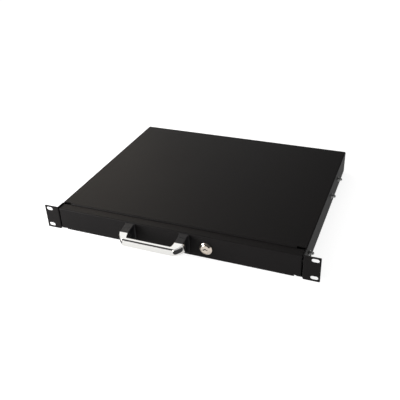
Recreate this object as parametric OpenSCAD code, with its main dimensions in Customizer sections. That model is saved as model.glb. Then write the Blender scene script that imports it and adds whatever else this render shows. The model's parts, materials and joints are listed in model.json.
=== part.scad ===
// Lockable one-unit rack drawer: a folded steel housing with rack ears, a folded steel
// tray with a bridge handle and a cam lock, and a pair of telescopic ball-bearing slides.
// The origin is the centre of the four rack slots, on the rear face of the ears.
// +X is right seen from the front, +Y goes back into the rack and +Z is up.

/* [Rack ears] */
// Width over both rack ears
ear_span = 482.6; // [478:0.1:486]
// Distance between the slot columns of the two ears
slot_span = 465.1; // [463:0.1:467]
// Distance between the upper and the lower slots
slot_rise = 31.75; // [29:0.05:34]
// Length of a rack slot, end to end
slot_l = 12; // [9:0.1:13]
// Width of a rack slot
slot_w = 6.6; // [5:0.1:7.5]
// Radius of the outer corners of an ear
ear_corner_r = 1.2; // [0.6:0.1:3]
// Radius of the inner lower corner of an ear, beside the fold
ear_heel_r = 3; // [2:0.1:4]

/* [Housing] */
// Width over the side walls
case_w = 431; // [425:0.5:435]
// Height of the housing and of its ears
case_h = 44; // [43:0.1:46]
// Depth from the front face of the ears to the back
case_d = 362; // [360:1:420]
// Thickness of every folded sheet
sheet = 1.2; // [1:0.05:1.3]
// Inner radius of every fold
fold_r = 0.6; // [0.4:0.05:0.8]
// Distance from the ears' front face to the folded lip of the top
lip_setback = 17.5; // [17:0.1:18.5]
// Height of the folded lip of the top
lip_h = 8; // [5:0.1:8.5]
// Length of the relief slot at each end of the lip
relief_l = 15.5; // [12:0.1:20]
// Width of that relief slot
relief_w = 2.7; // [2.3:0.1:4]
// Width of the flanges folded in under the side walls
base_flange_w = 11; // [6:0.1:12]
// Distance from the ears' front face to those flanges
base_flange_setback = 4.2; // [3.5:0.1:6]

/* [Drawer] */
// Gap between the drawer front and each side wall
front_side_gap = 1.8; // [1:0.1:2.5]
// Drop of the drawer front below the top of the housing
front_top_gap = 1.8; // [1.5:0.1:3]
// Rise of the drawer's underside above the bottom of the housing
front_base_gap = 1.8; // [1.5:0.1:2.5]
// Gap between the drawer's top flange and the housing's lip
top_flange_gap = 0.7; // [0.4:0.1:2]
// Depth of the flanges folded back at the two ends of the drawer front
return_d = 8; // [4:0.1:8.4]
// Height of the cut under each end of the drawer front
corner_relief_h = 2.4; // [2:0.1:4]
// Height of the tray's walls, from its underside
tray_h = 32.2; // [26:0.1:33]
// Depth of the drawer, from its front face to its back
drawer_d = 353.2; // [340:0.1:356]
// Width of the tray's weld tabs behind the drawer front
tab_w = 12; // [8:0.5:20]

/* [Slides] */
// Height of a slide
slide_h = 35; // [34:0.1:36]
// Thickness of a closed slide
slide_t = 12.7; // [12.6:0.1:13.5]
// Length of a slide
slide_l = 350; // [345:1:350]
// Distance from the ears' front face to the front of the slides
slide_setback = 9.7; // [9.2:0.1:10.2]
// Drop of the slides' centre line below mid height
slide_drop = 1; // [0:0.1:2]
// Travel of the drawer
travel = 320; // [250:1:325]
// Diameter of a bearing ball
ball_d = 3.3; // [3.1:0.1:3.4]
// Number of balls in a row
ball_count = 9; // [5:1:11]
// Running gap between a ball and its raceways and pocket
run_gap = 0.1; // [0.05:0.01:0.15]
// Thickness of the outer rail
outer_rail_t = 1.2; // [1:0.05:1.3]
// Thickness of the middle and the inner rail
rail_t = 1; // [0.8:0.05:1.1]
// Inner radius of the rails' square folds
rail_fold_r = 0.5; // [0.3:0.05:0.8]
// Gap between the webs of the outer and the middle rail
web_gap = 1; // [0.9:0.05:1.2]
// Height between the outer and the inner ball rows
row_drop = 3.9; // [3.8:0.05:4.1]
// Thickness of a ball cage
cage_t = 0.5; // [0.4:0.05:0.5]
// Distance that a ball cage keeps from the rails' ends when the drawer is fully open
cage_margin = 7.5; // [6:0.5:15]
// Length of the end bumper at the back of a slide
bumper_l = 5; // [3:0.5:8]

/* [Handle] */
// Distance of the handle's centre from the middle of the drawer
handle_x = -26; // [-60:1:0]
// Distance between the handle's two screws
handle_pitch = 96; // [94:0.5:98]
// Reach of the handle from the drawer front
handle_reach = 37.5; // [34:0.1:45]
// Clear width between the handle's feet
finger_w = 82.4; // [80:0.1:84]
// Narrowing of the finger gap towards the bar, on each side
finger_lean = 1.6; // [0:0.1:3]
// Radius of the finger gap's corners
finger_r = 2; // [1:0.1:5]
// Width of a foot
foot_w = 14.4; // [12.5:0.1:17]
// Flare of a foot at the drawer front, on each side
foot_flare = 1.8; // [0.5:0.1:2.5]
// Height of a foot at the drawer front
foot_h = 35.3; // [32:0.1:36]
// Height of a foot's middle above mid height
foot_rise = 1; // [0:0.1:1.4]
// Depth of a foot along its top, from the drawer front to the grip
foot_d = 21.8; // [19:0.1:24]
// Drop of the handle's top from the drawer front to the bar
top_drop = 7.5; // [5:0.1:9]
// Height of the grip bar
grip_h = 12.6; // [11:0.1:15]
// Thickness of the grip bar, front to back
grip_t = 5.9; // [5:0.1:8]
// Rise of the grip's underside from the feet to the bar
grip_sweep = 1.9; // [0:0.1:3]
// Reach of the grip's round ends back beside the feet
seam_lap = 6.5; // [5:0.1:8]
// Distance that the grip's cheeks stand out from the feet
cheek_proud = 1.2; // [0.5:0.1:2]
// Distance that a cheek comes in towards the bar
cheek_slant = 14.3; // [12:0.1:16]
// Length of the oval inlay in a cheek
oval_l = 18; // [14:0.1:19]
// Height of the oval inlay
oval_h = 8.2; // [6:0.1:9]

/* [Lock] */
// Distance of the lock from the middle of the drawer
lock_x = 59; // [55:0.5:100]
// Drop of the lock below mid height
lock_drop = 2; // [1:0.1:3]
// Diameter of the lock's bezel
bezel_d = 22; // [20.5:0.1:24]
// Height of the bezel
bezel_h = 4; // [3.5:0.1:5]
// Diameter of the threaded barrel
barrel_d = 16; // [15.5:0.1:18]
// Diameter of the key plug
plug_d = 12; // [11:0.1:12.5]
// Gap all round the turning plug
plug_gap = 0.05; // [0.03:0.01:0.1]
// Length of the cam, from its axis to its tip
cam_l = 20.5; // [19:0.1:21.5]
// Width of the cam
cam_w = 10; // [9.5:0.1:12]
// Thickness of the cam
cam_t = 2; // [1.5:0.1:2.5]
// Gap between the closed cam and the housing's lip
cam_gap = 0.6; // [0.4:0.1:1.5]
// Width over the nut's flats
lock_nut_af = 20; // [19:0.5:24]

/* [Fasteners] */
// Diameter of all screws
screw_d = 4; // [3.5:0.1:4.2]
// Head diameter of the countersunk rail screws
flat_head_d = 6.4; // [6:0.1:6.5]
// Length of the countersunk rail screws
wall_screw_l = 12; // [8:0.5:14]
// Head diameter of the pan-head screws
pan_head_d = 8; // [7:0.1:8.5]
// Head height of the pan-head screws
pan_head_h = 2.4; // [2:0.1:3]
// Width over the flats of the nuts outside the side walls
nut_af = 7; // [6.5:0.1:8]
// Height of those nuts
nut_h = 3.2; // [2:0.1:4]
// Diameter of the washers under those nuts
washer_d = 9; // [8:0.1:10]
// Thickness of all washers
washer_t = 0.8; // [0.5:0.1:1]

/* [Hidden] */
$fn = 48;

// Shared clearances, and the overrun of a cut past the face it opens
fit_gap = 0.05;
hole_gap = 0.25;
over = 1;

// Places that follow from the housing's sizes, from the ears' rear face backwards
half_h = case_h / 2;
half_w = case_w / 2;
fold_out = fold_r + sheet;
case_in = half_w - sheet;
face_y = -sheet;
back_y = face_y + case_d;
lip_y = face_y + lip_setback;
plate_y = lip_y + relief_w;
lip_half = half_w - relief_l;
base_flange_y = face_y + base_flange_setback;
base_flange_end = back_y - base_flange_w;

// Places that follow from the drawer's sizes
front_half = case_in - front_side_gap;
front_top = half_h - front_top_gap;
tray_base = -half_h + front_base_gap;
tray_half = case_in - slide_t;
tray_in = tray_half - sheet;
tray_top = tray_base + tray_h;
tray_back = face_y + drawer_d;
top_flange_end = lip_y - top_flange_gap;
return_base = tray_base + corner_relief_h;
return_top = front_top - fold_out - corner_relief_h;

// Cross-section of a slide: u runs from the side wall to the tray, v is up from mid height
slide_y = face_y + slide_setback;
slide_end = slide_y + slide_l;
moving_l = slide_l - bumper_l - run_gap;
bumper_v = slide_h / 2 - outer_rail_t - rail_fold_r - fit_gap;
ball_r = ball_d / 2;
race_r = ball_r + run_gap;
middle_u = outer_rail_t + web_gap;
outer_row_u = middle_u + rail_t + race_r;
outer_row_v = slide_h / 2 - outer_rail_t - race_r;
row_link = 2 * race_r + rail_t;
row_shift = sqrt(row_link * row_link - row_drop * row_drop);
row_angle = atan2(row_drop, row_shift);
inner_row_u = outer_row_u + row_shift;
inner_row_v = outer_row_v - row_drop;
hook_angle = 25;
outer_cage_u = outer_rail_t + (web_gap - cage_t) / 2;
inner_cage_u = middle_u + rail_t + (web_gap - cage_t) / 2;
pocket_lip_share = 0.82;
pocket_lip = ball_r * pocket_lip_share;
cage_l = moving_l - travel / 2 - 2 * cage_margin;
cage_y = slide_y + travel / 4 + cage_margin;
ball_pitch = cage_l / ball_count;
stop_l = 3;
stop_play = 2;
stop_y = slide_y + cage_margin - stop_play - stop_l;
stop_h = 10;
stop_gap = 0.3;
wall_screw_shares = [0.087, 0.607, 0.795];
tray_screw_shares = [0.08, 0.5, 0.9];

// Handle: depths run outwards from the drawer front
grip_half = finger_w / 2;
root_half = grip_half + foot_w;
cheek_half = root_half + cheek_proud;
foot_top = foot_rise + foot_h / 2;
foot_base = foot_rise - foot_h / 2;
bar_base = foot_top - top_drop - grip_h;
root_top = foot_top - top_drop * foot_d / handle_reach;
root_base = bar_base - grip_sweep;
boss_v = (root_top + root_base) / 2;
boss_r = 4.5;
edge_r = 1.5;
flare_d = 6;
flare_r = (foot_flare * foot_flare + flare_d * flare_d) / (2 * foot_flare);
belly_r = 50;
groove_share = 0.42;
groove_w = 1.2;
groove_d = 1;
seam_share = 0.35;
seam_v = root_base + (root_top - root_base) * seam_share;
seam_rise = root_top - seam_v;
seam_r = (seam_rise * seam_rise + seam_lap * seam_lap) / (2 * seam_lap);
seam_d = foot_d - seam_lap + seam_r;
foot_end = seam_d - sqrt(seam_r * seam_r - (seam_v - root_base) * (seam_v - root_base));
cheek_d = foot_d - seam_lap;
cheek_run = handle_reach - cheek_d;
cheek_r = (cheek_slant * cheek_slant + cheek_run * cheek_run) / (2 * cheek_slant);
cheek_x = cheek_half - cheek_r;
oval_place_share = 0.6;
oval_angle = asin(cheek_run / cheek_r) * oval_place_share;
oval_tilt = 4;
oval_rise = 0.6;
oval_seat = 1.1;
oval_proud = 0.3;
rim_w = 0.8;
rim_h = 0.5;
screw_grip_l = 10;

// Lock: depths run back from the drawer's front face
lock_v = -lock_drop;
cam_y = lip_y + sheet + cam_gap;
barrel_end = cam_y - cam_gap / 2;
barrel_flat_share = 0.88;
barrel_flat = barrel_d * barrel_flat_share;
bezel_side_share = 0.33;
bezel_face_share = 0.68;
plug_lip_w = 0.9;
plug_lip_t = 1.2;
plug_recess = 0.3;
key_l = 8.4;
key_w = 1.7;
key_shares = [[-0.5, -0.17, -1.05], [-0.22, 0.14, -0.08], [0.1, 0.5, -0.65]];
key_d = 14;
stub_w = 7;
lock_nut_h = 4;
lock_washer_d = 24;
cam_screw_l = 6;

// A box between two opposite corners
module block(lo, hi)
  translate(lo) cube(hi - lo);

// Extrudes a drawing in X and Z along Y, between two places
module along_y(y0, y1)
  translate([0, y1, 0]) rotate([90, 0, 0]) linear_extrude(y1 - y0) children();

// Extrudes a drawing in Y and Z along X, between two places
module along_x(x0, x1)
  translate([x0, 0, 0]) rotate([90, 0, 90]) linear_extrude(x1 - x0) children();

// Extrudes a drawing in X and Y along Z, between two places
module along_z(z0, z1)
  translate([0, 0, z0]) linear_extrude(z1 - z0) children();

// A bent strip round the origin, between two angles
module bend(r_in, t, a0, a1)
  intersection() {
    difference() {
      circle(r = r_in + t);
      circle(r = r_in);
    }
    polygon(concat([[0, 0]], [for (i = [0 : 4]) let(a = a0 + (a1 - a0) * i / 4)
      2 * (r_in + t) * [cos(a), sin(a)]]));
  }

// A square fold of the sheet, centred on its bend, between two angles
module fold(a0)
  bend(fold_r, sheet, a0, a0 + 90);

// A straight band from one point to another
module band(p, q, t)
  translate(p) rotate(atan2(q.y - p.y, q.x - p.x)) translate([0, -t / 2]) square([norm(q - p), t]);

// A convex outline with round corners, from the centres of its corners
module round_outline(centres, r) {
  polygon(centres);
  for (i = [0 : len(centres) - 1]) {
    band(centres[i], centres[(i + 1) % len(centres)], 2 * r);
    translate(centres[i]) circle(r = r);
  }
}

// A slot with round ends along X, centred on the origin
module slot(l, w) {
  square([l - w, w], center = true);
  for (s = [-1, 1]) translate([s * (l - w) / 2, 0]) circle(d = w);
}

// The same shape on both sides of X = 0
module both_sides() {
  children();
  mirror([1, 0, 0]) children();
}

// A cylinder along X between two places
module rod_x(x0, x1, r)
  translate([x0, 0, 0]) rotate([0, 90, 0]) cylinder(h = x1 - x0, r = r);

// A hexagonal ring along Z
module hex_nut(af, h, bore_r)
  difference() {
    cylinder(h = h, d = af / cos(30), $fn = 6);
    translate([0, 0, -over]) cylinder(h = h + 2 * over, r = bore_r);
  }

// A flat ring along Z
module ring(d, t, bore_r)
  difference() {
    cylinder(h = t, d = d);
    translate([0, 0, -over]) cylinder(h = t + 2 * over, r = bore_r);
  }

// A pan-head screw along Z: its head is above the origin and its shank hangs below
module pan_screw(l)
  rotate_extrude() {
    translate([0, -l]) square([screw_d / 2, l + over / 2]);
    intersection() {
      square([pan_head_d / 2, pan_head_h]);
      translate([0, pan_head_h - pan_head_d]) circle(r = pan_head_d);
    }
  }

// The cut where the ear's fold meets the flange under the wall, in X and Z
module heel_cut()
  difference() {
    translate([case_in - over, -half_h - over]) square(ear_heel_r + over);
    translate([case_in + ear_heel_r, -half_h + ear_heel_r]) circle(r = ear_heel_r);
  }

// The outline of an ear with its fold, in X and Z
module ear_outline()
  difference() {
    union() {
      translate([case_in, -half_h]) square([ear_span / 2 - case_in - ear_corner_r, case_h]);
      round_outline([for (p = [[0, -1], [1, -1], [1, 1], [0, 1]])
        [ear_span / 2 - ear_corner_r - slot_l * (1 - p.x), p.y * (half_h - ear_corner_r)]], ear_corner_r);
    }
    heel_cut();
  }

// Right half of the housing
module housing_half() {
  along_y(fold_r, back_y)
    translate([case_in, -half_h + fold_out]) square([sheet, case_h - 2 * fold_out]);
  along_y(fold_r, lip_y)
    translate([case_in, half_h - fold_out]) square([sheet, fold_out]);
  along_y(plate_y, back_y - fold_out) {
    translate([0, half_h - sheet]) square([half_w - fold_out, sheet]);
    translate([half_w - fold_out, half_h - fold_out]) fold(0);
  }
  along_y(base_flange_y, base_flange_end) {
    translate([half_w - base_flange_w, -half_h]) square([base_flange_w - fold_out, sheet]);
    translate([half_w - fold_out, -half_h + fold_out]) fold(270);
  }
  intersection() {
    along_z(-half_h, half_h) {
      translate([half_w + fold_r, fold_r]) fold(180);
      translate([half_w + fold_r, face_y]) square([ear_span / 2 - half_w - fold_r, sheet]);
    }
    along_y(face_y - over, fold_out + over) ear_outline();
  }
}

module housing()
  color("#232325") difference() {
    union() {
      both_sides() housing_half();
      along_x(-lip_half, lip_half) {
        translate([lip_y + fold_out, half_h - fold_out]) fold(90);
        translate([lip_y + fold_out, half_h - sheet]) square([plate_y - lip_y - fold_out, sheet]);
        translate([lip_y, half_h - lip_h]) square([sheet, lip_h - fold_out]);
      }
      along_x(fold_out - half_w, half_w - fold_out)
        translate([back_y - fold_out, half_h - fold_out]) fold(0);
      block([-case_in, back_y - sheet, -half_h], [case_in, back_y, half_h - fold_out]);
    }
    along_y(face_y - over, over)
      for (x = [-1, 1], z = [-1, 1]) translate([x * slot_span / 2, z * slot_rise / 2]) slot(slot_l, slot_w);
    for (s = wall_screw_shares) translate([0, slide_y + s * slide_l, -slide_drop]) both_sides()
      rod_x(case_in - over, half_w + over, screw_d / 2 + hole_gap);
  }

// Places a slide part, drawn in u, Y and v, on the left (-1) or right (1) side wall
module in_slide(side)
  translate([side * case_in, 0, -slide_drop]) mirror([(side + 1) / 2, 0, 0]) children();

// A rail profile and its mirror image below
module up_and_down() {
  children();
  mirror([0, 1]) children();
}

module outer_profile()
  up_and_down() {
    square([outer_rail_t, slide_h / 2 - outer_rail_t - rail_fold_r]);
    translate([outer_rail_t + rail_fold_r, slide_h / 2 - outer_rail_t - rail_fold_r])
      bend(rail_fold_r, outer_rail_t, 90, 180);
    translate([outer_rail_t + rail_fold_r, slide_h / 2 - outer_rail_t])
      square([outer_row_u - outer_rail_t - rail_fold_r, outer_rail_t]);
    translate([outer_row_u, outer_row_v]) bend(race_r, outer_rail_t, 0, 90);
  }

module middle_profile()
  up_and_down() {
    translate([middle_u, 0]) square([rail_t, outer_row_v - race_r - rail_t - rail_fold_r]);
    translate([middle_u + rail_t + rail_fold_r, outer_row_v - race_r - rail_t - rail_fold_r])
      bend(rail_fold_r, rail_t, 90, 180);
    translate([middle_u + rail_t + rail_fold_r, outer_row_v - race_r - rail_t])
      square([outer_row_u - middle_u - rail_t - rail_fold_r, rail_t]);
    translate([outer_row_u, outer_row_v]) bend(race_r, rail_t, 270, 360 - row_angle);
    translate([inner_row_u, inner_row_v]) bend(race_r, rail_t, 0, 180 - row_angle);
  }

module inner_profile()
  up_and_down() {
    translate([slide_t - rail_t, 0]) square([rail_t, inner_row_v - race_r - rail_t - rail_fold_r]);
    translate([slide_t - rail_t - rail_fold_r, inner_row_v - race_r - rail_t - rail_fold_r])
      bend(rail_fold_r, rail_t, 0, 90);
    translate([inner_row_u, inner_row_v - race_r - rail_t])
      square([slide_t - rail_t - rail_fold_r - inner_row_u, rail_t]);
    translate([inner_row_u, inner_row_v]) bend(race_r, rail_t, 180 + hook_angle, 270);
  }

// A U-shaped cage from u0 to the balls of one row height
module cage_profile(u0, row_u, row_v)
  up_and_down() {
    translate([u0, 0]) square([cage_t, row_v - cage_t / 2 - rail_fold_r]);
    translate([u0 + cage_t + rail_fold_r, row_v - cage_t / 2 - rail_fold_r])
      bend(rail_fold_r, cage_t, 90, 180);
    translate([u0 + cage_t + rail_fold_r, row_v - cage_t / 2])
      square([row_u + pocket_lip - u0 - cage_t - rail_fold_r, cage_t]);
  }

// Copies a child to each ball of a slide's upper and lower row
module at_balls(row_u, row_v)
  for (v = [-1, 1], i = [0 : ball_count - 1])
    translate([row_u, cage_y + (i + 1 / 2) * ball_pitch, v * row_v]) children();

module outer_rail(side)
  color("#b9bcc0") in_slide(side) difference() {
    union() {
      along_y(slide_y, slide_end) outer_profile();
      block([0, stop_y, -stop_h / 2], [middle_u - stop_gap, stop_y + stop_l, stop_h / 2]);
    }
    for (s = wall_screw_shares) translate([0, slide_y + s * slide_l, 0]) {
      rod_x(-over, middle_u, screw_d / 2 + fit_gap);
      rotate([0, 90, 0]) cylinder(h = outer_rail_t, r1 = screw_d / 2 + fit_gap, r2 = flat_head_d / 2 + fit_gap);
    }
  }

// Countersunk screws, flush with the outer rail's web, with their tails outside the wall
module rail_screws(side)
  color("#c9cbce") in_slide(side)
    for (s = wall_screw_shares) translate([0, slide_y + s * slide_l, 0]) {
      rod_x(outer_rail_t - wall_screw_l, outer_rail_t, screw_d / 2);
      rotate([0, 90, 0]) cylinder(h = outer_rail_t, r1 = screw_d / 2, r2 = flat_head_d / 2);
    }

// Copies a child, drawn along Z, to the outside of each wall screw
module at_wall_screws()
  both_sides() for (s = wall_screw_shares)
    translate([half_w, slide_y + s * slide_l, -slide_drop]) rotate([0, 90, 0]) children();

module rail_washers()
  color("#a9abae") at_wall_screws() ring(washer_d, washer_t, screw_d / 2 + hole_gap);

module rail_nuts()
  color("#c9cbce") at_wall_screws() translate([0, 0, washer_t]) hex_nut(nut_af, nut_h, screw_d / 2 + fit_gap);

module rail_bumpers()
  color("#1b1b1c") for (side = [-1, 1]) in_slide(side) {
    block([outer_rail_t, slide_end - bumper_l, -bumper_v], [outer_row_u, slide_end, bumper_v]);
    block([outer_rail_t, slide_end - bumper_l, -inner_row_v],
      [slide_t - rail_t, slide_end, inner_row_v]);
  }

module ball_cage(side, u0, row_u, row_v)
  color("#9fa2a6") in_slide(side) difference() {
    along_y(cage_y, cage_y + cage_l) cage_profile(u0, row_u, row_v);
    at_balls(row_u, row_v) cylinder(h = ball_d, r = race_r, center = true);
  }

module balls(side, row_u, row_v)
  color("#d5d7da") in_slide(side) at_balls(row_u, row_v) sphere(r = ball_r);

module middle_rail(side)
  color("#b9bcc0") in_slide(side) {
    along_y(slide_y, slide_y + moving_l) middle_profile();
    block([middle_u, stop_y, -stop_h / 2], [inner_cage_u + cage_t, stop_y + stop_l, stop_h / 2]);
  }

module inner_rail(side)
  color("#b9bcc0") in_slide(side) difference() {
    along_y(slide_y, slide_y + moving_l) inner_profile();
    for (s = tray_screw_shares) translate([0, slide_y + s * slide_l, 0])
      rod_x(slide_t / 2, slide_t + over, screw_d / 2 + fit_gap);
  }

module inner_rail_screws()
  color("#c9cbce") both_sides() for (s = tray_screw_shares)
    translate([tray_in, slide_y + s * slide_l, -slide_drop]) rotate([0, -90, 0])
      pan_screw(sheet + 2 * rail_t);

// Right half of the drawer front, with its top flange and the flange at its end
module front_half_shape() {
  block([0, face_y, tray_base], [tray_half, 0, front_top - fold_out]);
  block([0, face_y, return_base], [front_half - fold_out, 0, front_top - fold_out]);
  block([0, face_y, return_top], [front_half, 0, front_top - fold_out]);
  along_x(0, front_half) {
    translate([fold_r, front_top - fold_out]) fold(90);
    translate([fold_r, front_top - sheet]) square([top_flange_end - fold_r, sheet]);
  }
  along_z(return_base, return_top) {
    translate([front_half - fold_out, fold_r]) fold(270);
    translate([front_half - sheet, fold_r]) square([sheet, face_y + return_d - fold_r]);
  }
}

module drawer_front()
  color("#232325") difference() {
    both_sides() front_half_shape();
    translate([lock_x, 0, lock_v]) along_y(face_y - over, over) intersection() {
      circle(d = barrel_d + 2 * hole_gap);
      square([barrel_flat + 2 * hole_gap, barrel_d + 2 * over], center = true);
    }
    for (s = [-1, 1]) translate([handle_x + s * handle_pitch / 2, 0, boss_v])
      along_y(face_y - over, over) circle(r = screw_d / 2 + hole_gap);
  }

// Right half of the tray, whose side wall has a tab folded in and welded behind the drawer front
module tray_half_shape() {
  along_y(0, tray_back - fold_out) {
    translate([0, tray_base]) square([tray_half - fold_out, sheet]);
    translate([tray_half - fold_out, tray_base + fold_out]) fold(270);
  }
  along_y(fold_out, tray_back)
    translate([tray_in, tray_base + fold_out]) square([sheet, tray_h - fold_out]);
  along_x(0, tray_half - fold_out)
    translate([tray_back - fold_out, tray_base + fold_out]) fold(270);
  block([0, tray_back - sheet, tray_base + fold_out], [tray_in, tray_back, tray_top]);
  along_z(tray_base + fold_out, tray_top) {
    translate([tray_half - fold_out, fold_out]) fold(270);
    translate([tray_half - tab_w, 0]) square([tab_w - fold_out, sheet]);
  }
}

module drawer_tray()
  color("#232325") difference() {
    both_sides() tray_half_shape();
    for (s = tray_screw_shares) translate([0, slide_y + s * slide_l, -slide_drop]) both_sides()
      rod_x(tray_in - over, tray_half + over, screw_d / 2 + hole_gap);
  }

// Places a handle part, drawn with Y as the depth out of the drawer front
module on_front()
  translate([handle_x, face_y, 0]) mirror([0, 1, 0]) children();

// Height of the handle's sloping top at a depth
function top_at(d) = foot_top - top_drop * d / handle_reach;

// Centre of the arc that bulges to the right of the way from p to q
function arc_centre(p, q, r) =
  (p + q) / 2 + sqrt(r * r - (q - p) * (q - p) / 4) * [p.y - q.y, q.x - p.x] / norm(q - p);

// Plan of the two feet, flared where they meet the drawer front, in X and depth
module feet_plan()
  both_sides() {
    translate([grip_half, 0]) square([foot_w, foot_d]);
    difference() {
      translate([grip_half - foot_flare, 0]) square([foot_w + 2 * foot_flare, flare_d]);
      for (x = [grip_half - flare_r, root_half + flare_r]) translate([x, flare_d]) circle(r = flare_r);
    }
  }

// Plan of the grip, a bar with round cheeks, in X and depth
module grip_plan()
  difference() {
    intersection() {
      translate([-cheek_half - over, cheek_d - over]) square([2 * (cheek_half + over), cheek_run + over]);
      union() {
        translate([-cheek_x, cheek_d - over]) square([2 * cheek_x, cheek_run + over]);
        both_sides() translate([cheek_x, cheek_d]) circle(r = cheek_r);
      }
    }
    round_outline([for (p = [[-1, 0, 0], [1, 0, 0], [1, foot_d, 0],
      [1, handle_reach - grip_t - finger_r, 1], [-1, handle_reach - grip_t - finger_r, 1], [-1, foot_d, 0]])
      [p.x * (grip_half - finger_lean * p.z - finger_r), p.y]], finger_r);
  }

// The round end of the grip that a foot is hollowed for, in depth and Z
module seam_disc(gap)
  translate([seam_d, seam_v]) circle(r = seam_r + gap);

// Side view of a foot: a grooved sloping top and a full round belly, in depth and Z
module foot_side()
  difference() {
    intersection() {
      polygon([[0, foot_base], [0, foot_top], [foot_d, root_top], [foot_d, foot_base]]);
      translate(arc_centre([0, foot_base], [foot_end, root_base], belly_r)) circle(r = belly_r);
    }
    seam_disc(fit_gap);
    translate([foot_d * groove_share, top_at(foot_d * groove_share)])
      square([groove_w, 2 * groove_d], center = true);
  }

// Side view of the grip, in depth and Z
module grip_side()
  intersection() {
    round_outline([
      [cheek_d, root_base + edge_r],
      [handle_reach - edge_r, bar_base + edge_r],
      [handle_reach - edge_r, top_at(handle_reach - edge_r) - edge_r],
      [cheek_d, top_at(cheek_d) - edge_r]
    ], edge_r);
    union() {
      seam_disc(0);
      translate([seam_d, -foot_h]) square([handle_reach, 2 * foot_h]);
    }
  }

// An oval pad between two radii of a cheek, placed from the cheek's axis
module oval_pad(l, h, r0, r1)
  difference() {
    intersection() {
      translate([0, 0, boss_v + oval_rise]) rotate([0, 0, oval_angle]) rotate([90, 0, 90])
        linear_extrude(r1 + over) rotate(-oval_tilt) slot(l, h);
      cylinder(h = 2 * foot_h, r = r1, center = true);
    }
    cylinder(h = 2 * (foot_h + over), r = r0, center = true);
  }

// Copies a child to both cheeks, with its origin on the cheek's axis
module at_cheeks()
  both_sides() translate([cheek_x, cheek_d, 0]) children();

module handle_grip()
  color("#d9dbde") on_front() difference() {
    union() {
      intersection() {
        along_z(foot_base, foot_top) grip_plan();
        along_x(-cheek_half - over, cheek_half + over) grip_side();
      }
      at_cheeks() oval_pad(oval_l + 2 * rim_w, oval_h + 2 * rim_w, cheek_r - oval_seat, cheek_r + rim_h);
      for (s = [-1, 1]) translate([s * handle_pitch / 2, 0, boss_v])
        rotate([-90, 0, 0]) cylinder(h = foot_d, r = boss_r);
    }
    for (s = [-1, 1]) translate([s * handle_pitch / 2, -over, boss_v])
      rotate([-90, 0, 0]) cylinder(h = screw_grip_l + 2 * over, r = screw_d / 2 + fit_gap);
    at_cheeks() oval_pad(oval_l, oval_h, cheek_r - oval_seat, cheek_r + over);
  }

module handle_foot(side)
  color("#17171a") on_front() difference() {
    intersection() {
      along_z(foot_base - over, foot_top + over) feet_plan();
      along_x(side > 0 ? 0 : -root_half - foot_flare, side > 0 ? root_half + foot_flare : 0) foot_side();
    }
    translate([side * handle_pitch / 2, -over, boss_v])
      rotate([-90, 0, 0]) cylinder(h = foot_d + 2 * over, r = boss_r + fit_gap);
  }

module handle_plugs()
  color("#17171a") on_front() at_cheeks()
    oval_pad(oval_l - 2 * fit_gap, oval_h - 2 * fit_gap, cheek_r - oval_seat, cheek_r + oval_proud);

module handle_screws()
  color("#c9cbce") for (s = [-1, 1]) translate([handle_x + s * handle_pitch / 2, 0, boss_v])
    rotate([-90, 0, 0]) pan_screw(screw_grip_l);

// Places a lock part, drawn along Z, with Z running out of the drawer front
module on_lock()
  translate([lock_x, 0, lock_v]) rotate([90, 0, 0]) children();

// The barrel's two flats, cut from a round outline
module flattened(d, flat)
  intersection() {
    circle(d = d);
    square([flat, d + over], center = true);
  }

module lock_body()
  color("#cfcac2") on_lock() difference() {
    union() {
      rotate_extrude() polygon([[0, sheet], [bezel_d / 2, sheet],
        [bezel_d / 2, sheet + bezel_h * bezel_side_share],
        [bezel_d / 2 * bezel_face_share, sheet + bezel_h], [0, sheet + bezel_h]]);
      along_z(-barrel_end, sheet) flattened(barrel_d, barrel_flat);
    }
    translate([0, 0, -barrel_end - over])
      cylinder(h = barrel_end + sheet + bezel_h + 2 * over, r = plug_d / 2);
    translate([0, 0, sheet + bezel_h - plug_recess - plug_lip_t - plug_gap])
      cylinder(h = bezel_h, r = plug_d / 2 + plug_lip_w);
  }

module lock_washer()
  color("#a9abae") on_lock() along_z(-washer_t, 0) difference() {
    circle(d = lock_washer_d);
    flattened(barrel_d + 2 * fit_gap, barrel_flat + 2 * fit_gap);
  }

module lock_nut()
  color("#c9cbce") on_lock() translate([0, 0, -washer_t - lock_nut_h])
    hex_nut(lock_nut_af, lock_nut_h, barrel_d / 2 + fit_gap);

// The turning plug: keyed front, round body and a square stub for the cam
module lock_plug()
  color("#c7c1b8") on_lock() difference() {
    union() {
      translate([0, 0, -cam_y]) cylinder(h = cam_y + sheet + bezel_h - plug_recess, r = plug_d / 2 - plug_gap);
      translate([0, 0, sheet + bezel_h - plug_recess - plug_lip_t])
        cylinder(h = plug_lip_t, r = plug_d / 2 + plug_lip_w - plug_gap);
      along_z(-cam_y - cam_t, -cam_y) square(stub_w, center = true);
    }
    along_z(sheet + bezel_h - key_d, sheet + bezel_h + over) for (k = key_shares)
      translate([k[0] * key_l, k[2] * key_w]) square([(k[1] - k[0]) * key_l, key_w]);
    translate([0, 0, -cam_y - cam_t - over]) cylinder(h = cam_screw_l + 2 * over, r = screw_d / 2 + fit_gap);
  }

module lock_cam()
  color("#b9bcc0") on_lock() along_z(-cam_y - cam_t, -cam_y) difference() {
    union() {
      circle(d = cam_w + stub_w / 2);
      translate([cam_w / 2 - cam_l, -cam_w / 2]) square([cam_l - cam_w / 2, cam_w]);
      translate([cam_w / 2 - cam_l, 0]) circle(d = cam_w);
    }
    square(stub_w + 2 * fit_gap, center = true);
  }

module cam_washer()
  color("#a9abae") on_lock() translate([0, 0, -cam_y - cam_t - washer_t])
    ring(plug_d, washer_t, screw_d / 2 + hole_gap);

module cam_screw()
  color("#c9cbce") on_lock() translate([0, 0, -cam_y - cam_t - washer_t]) rotate([180, 0, 0])
    pan_screw(washer_t + cam_screw_l);

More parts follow.
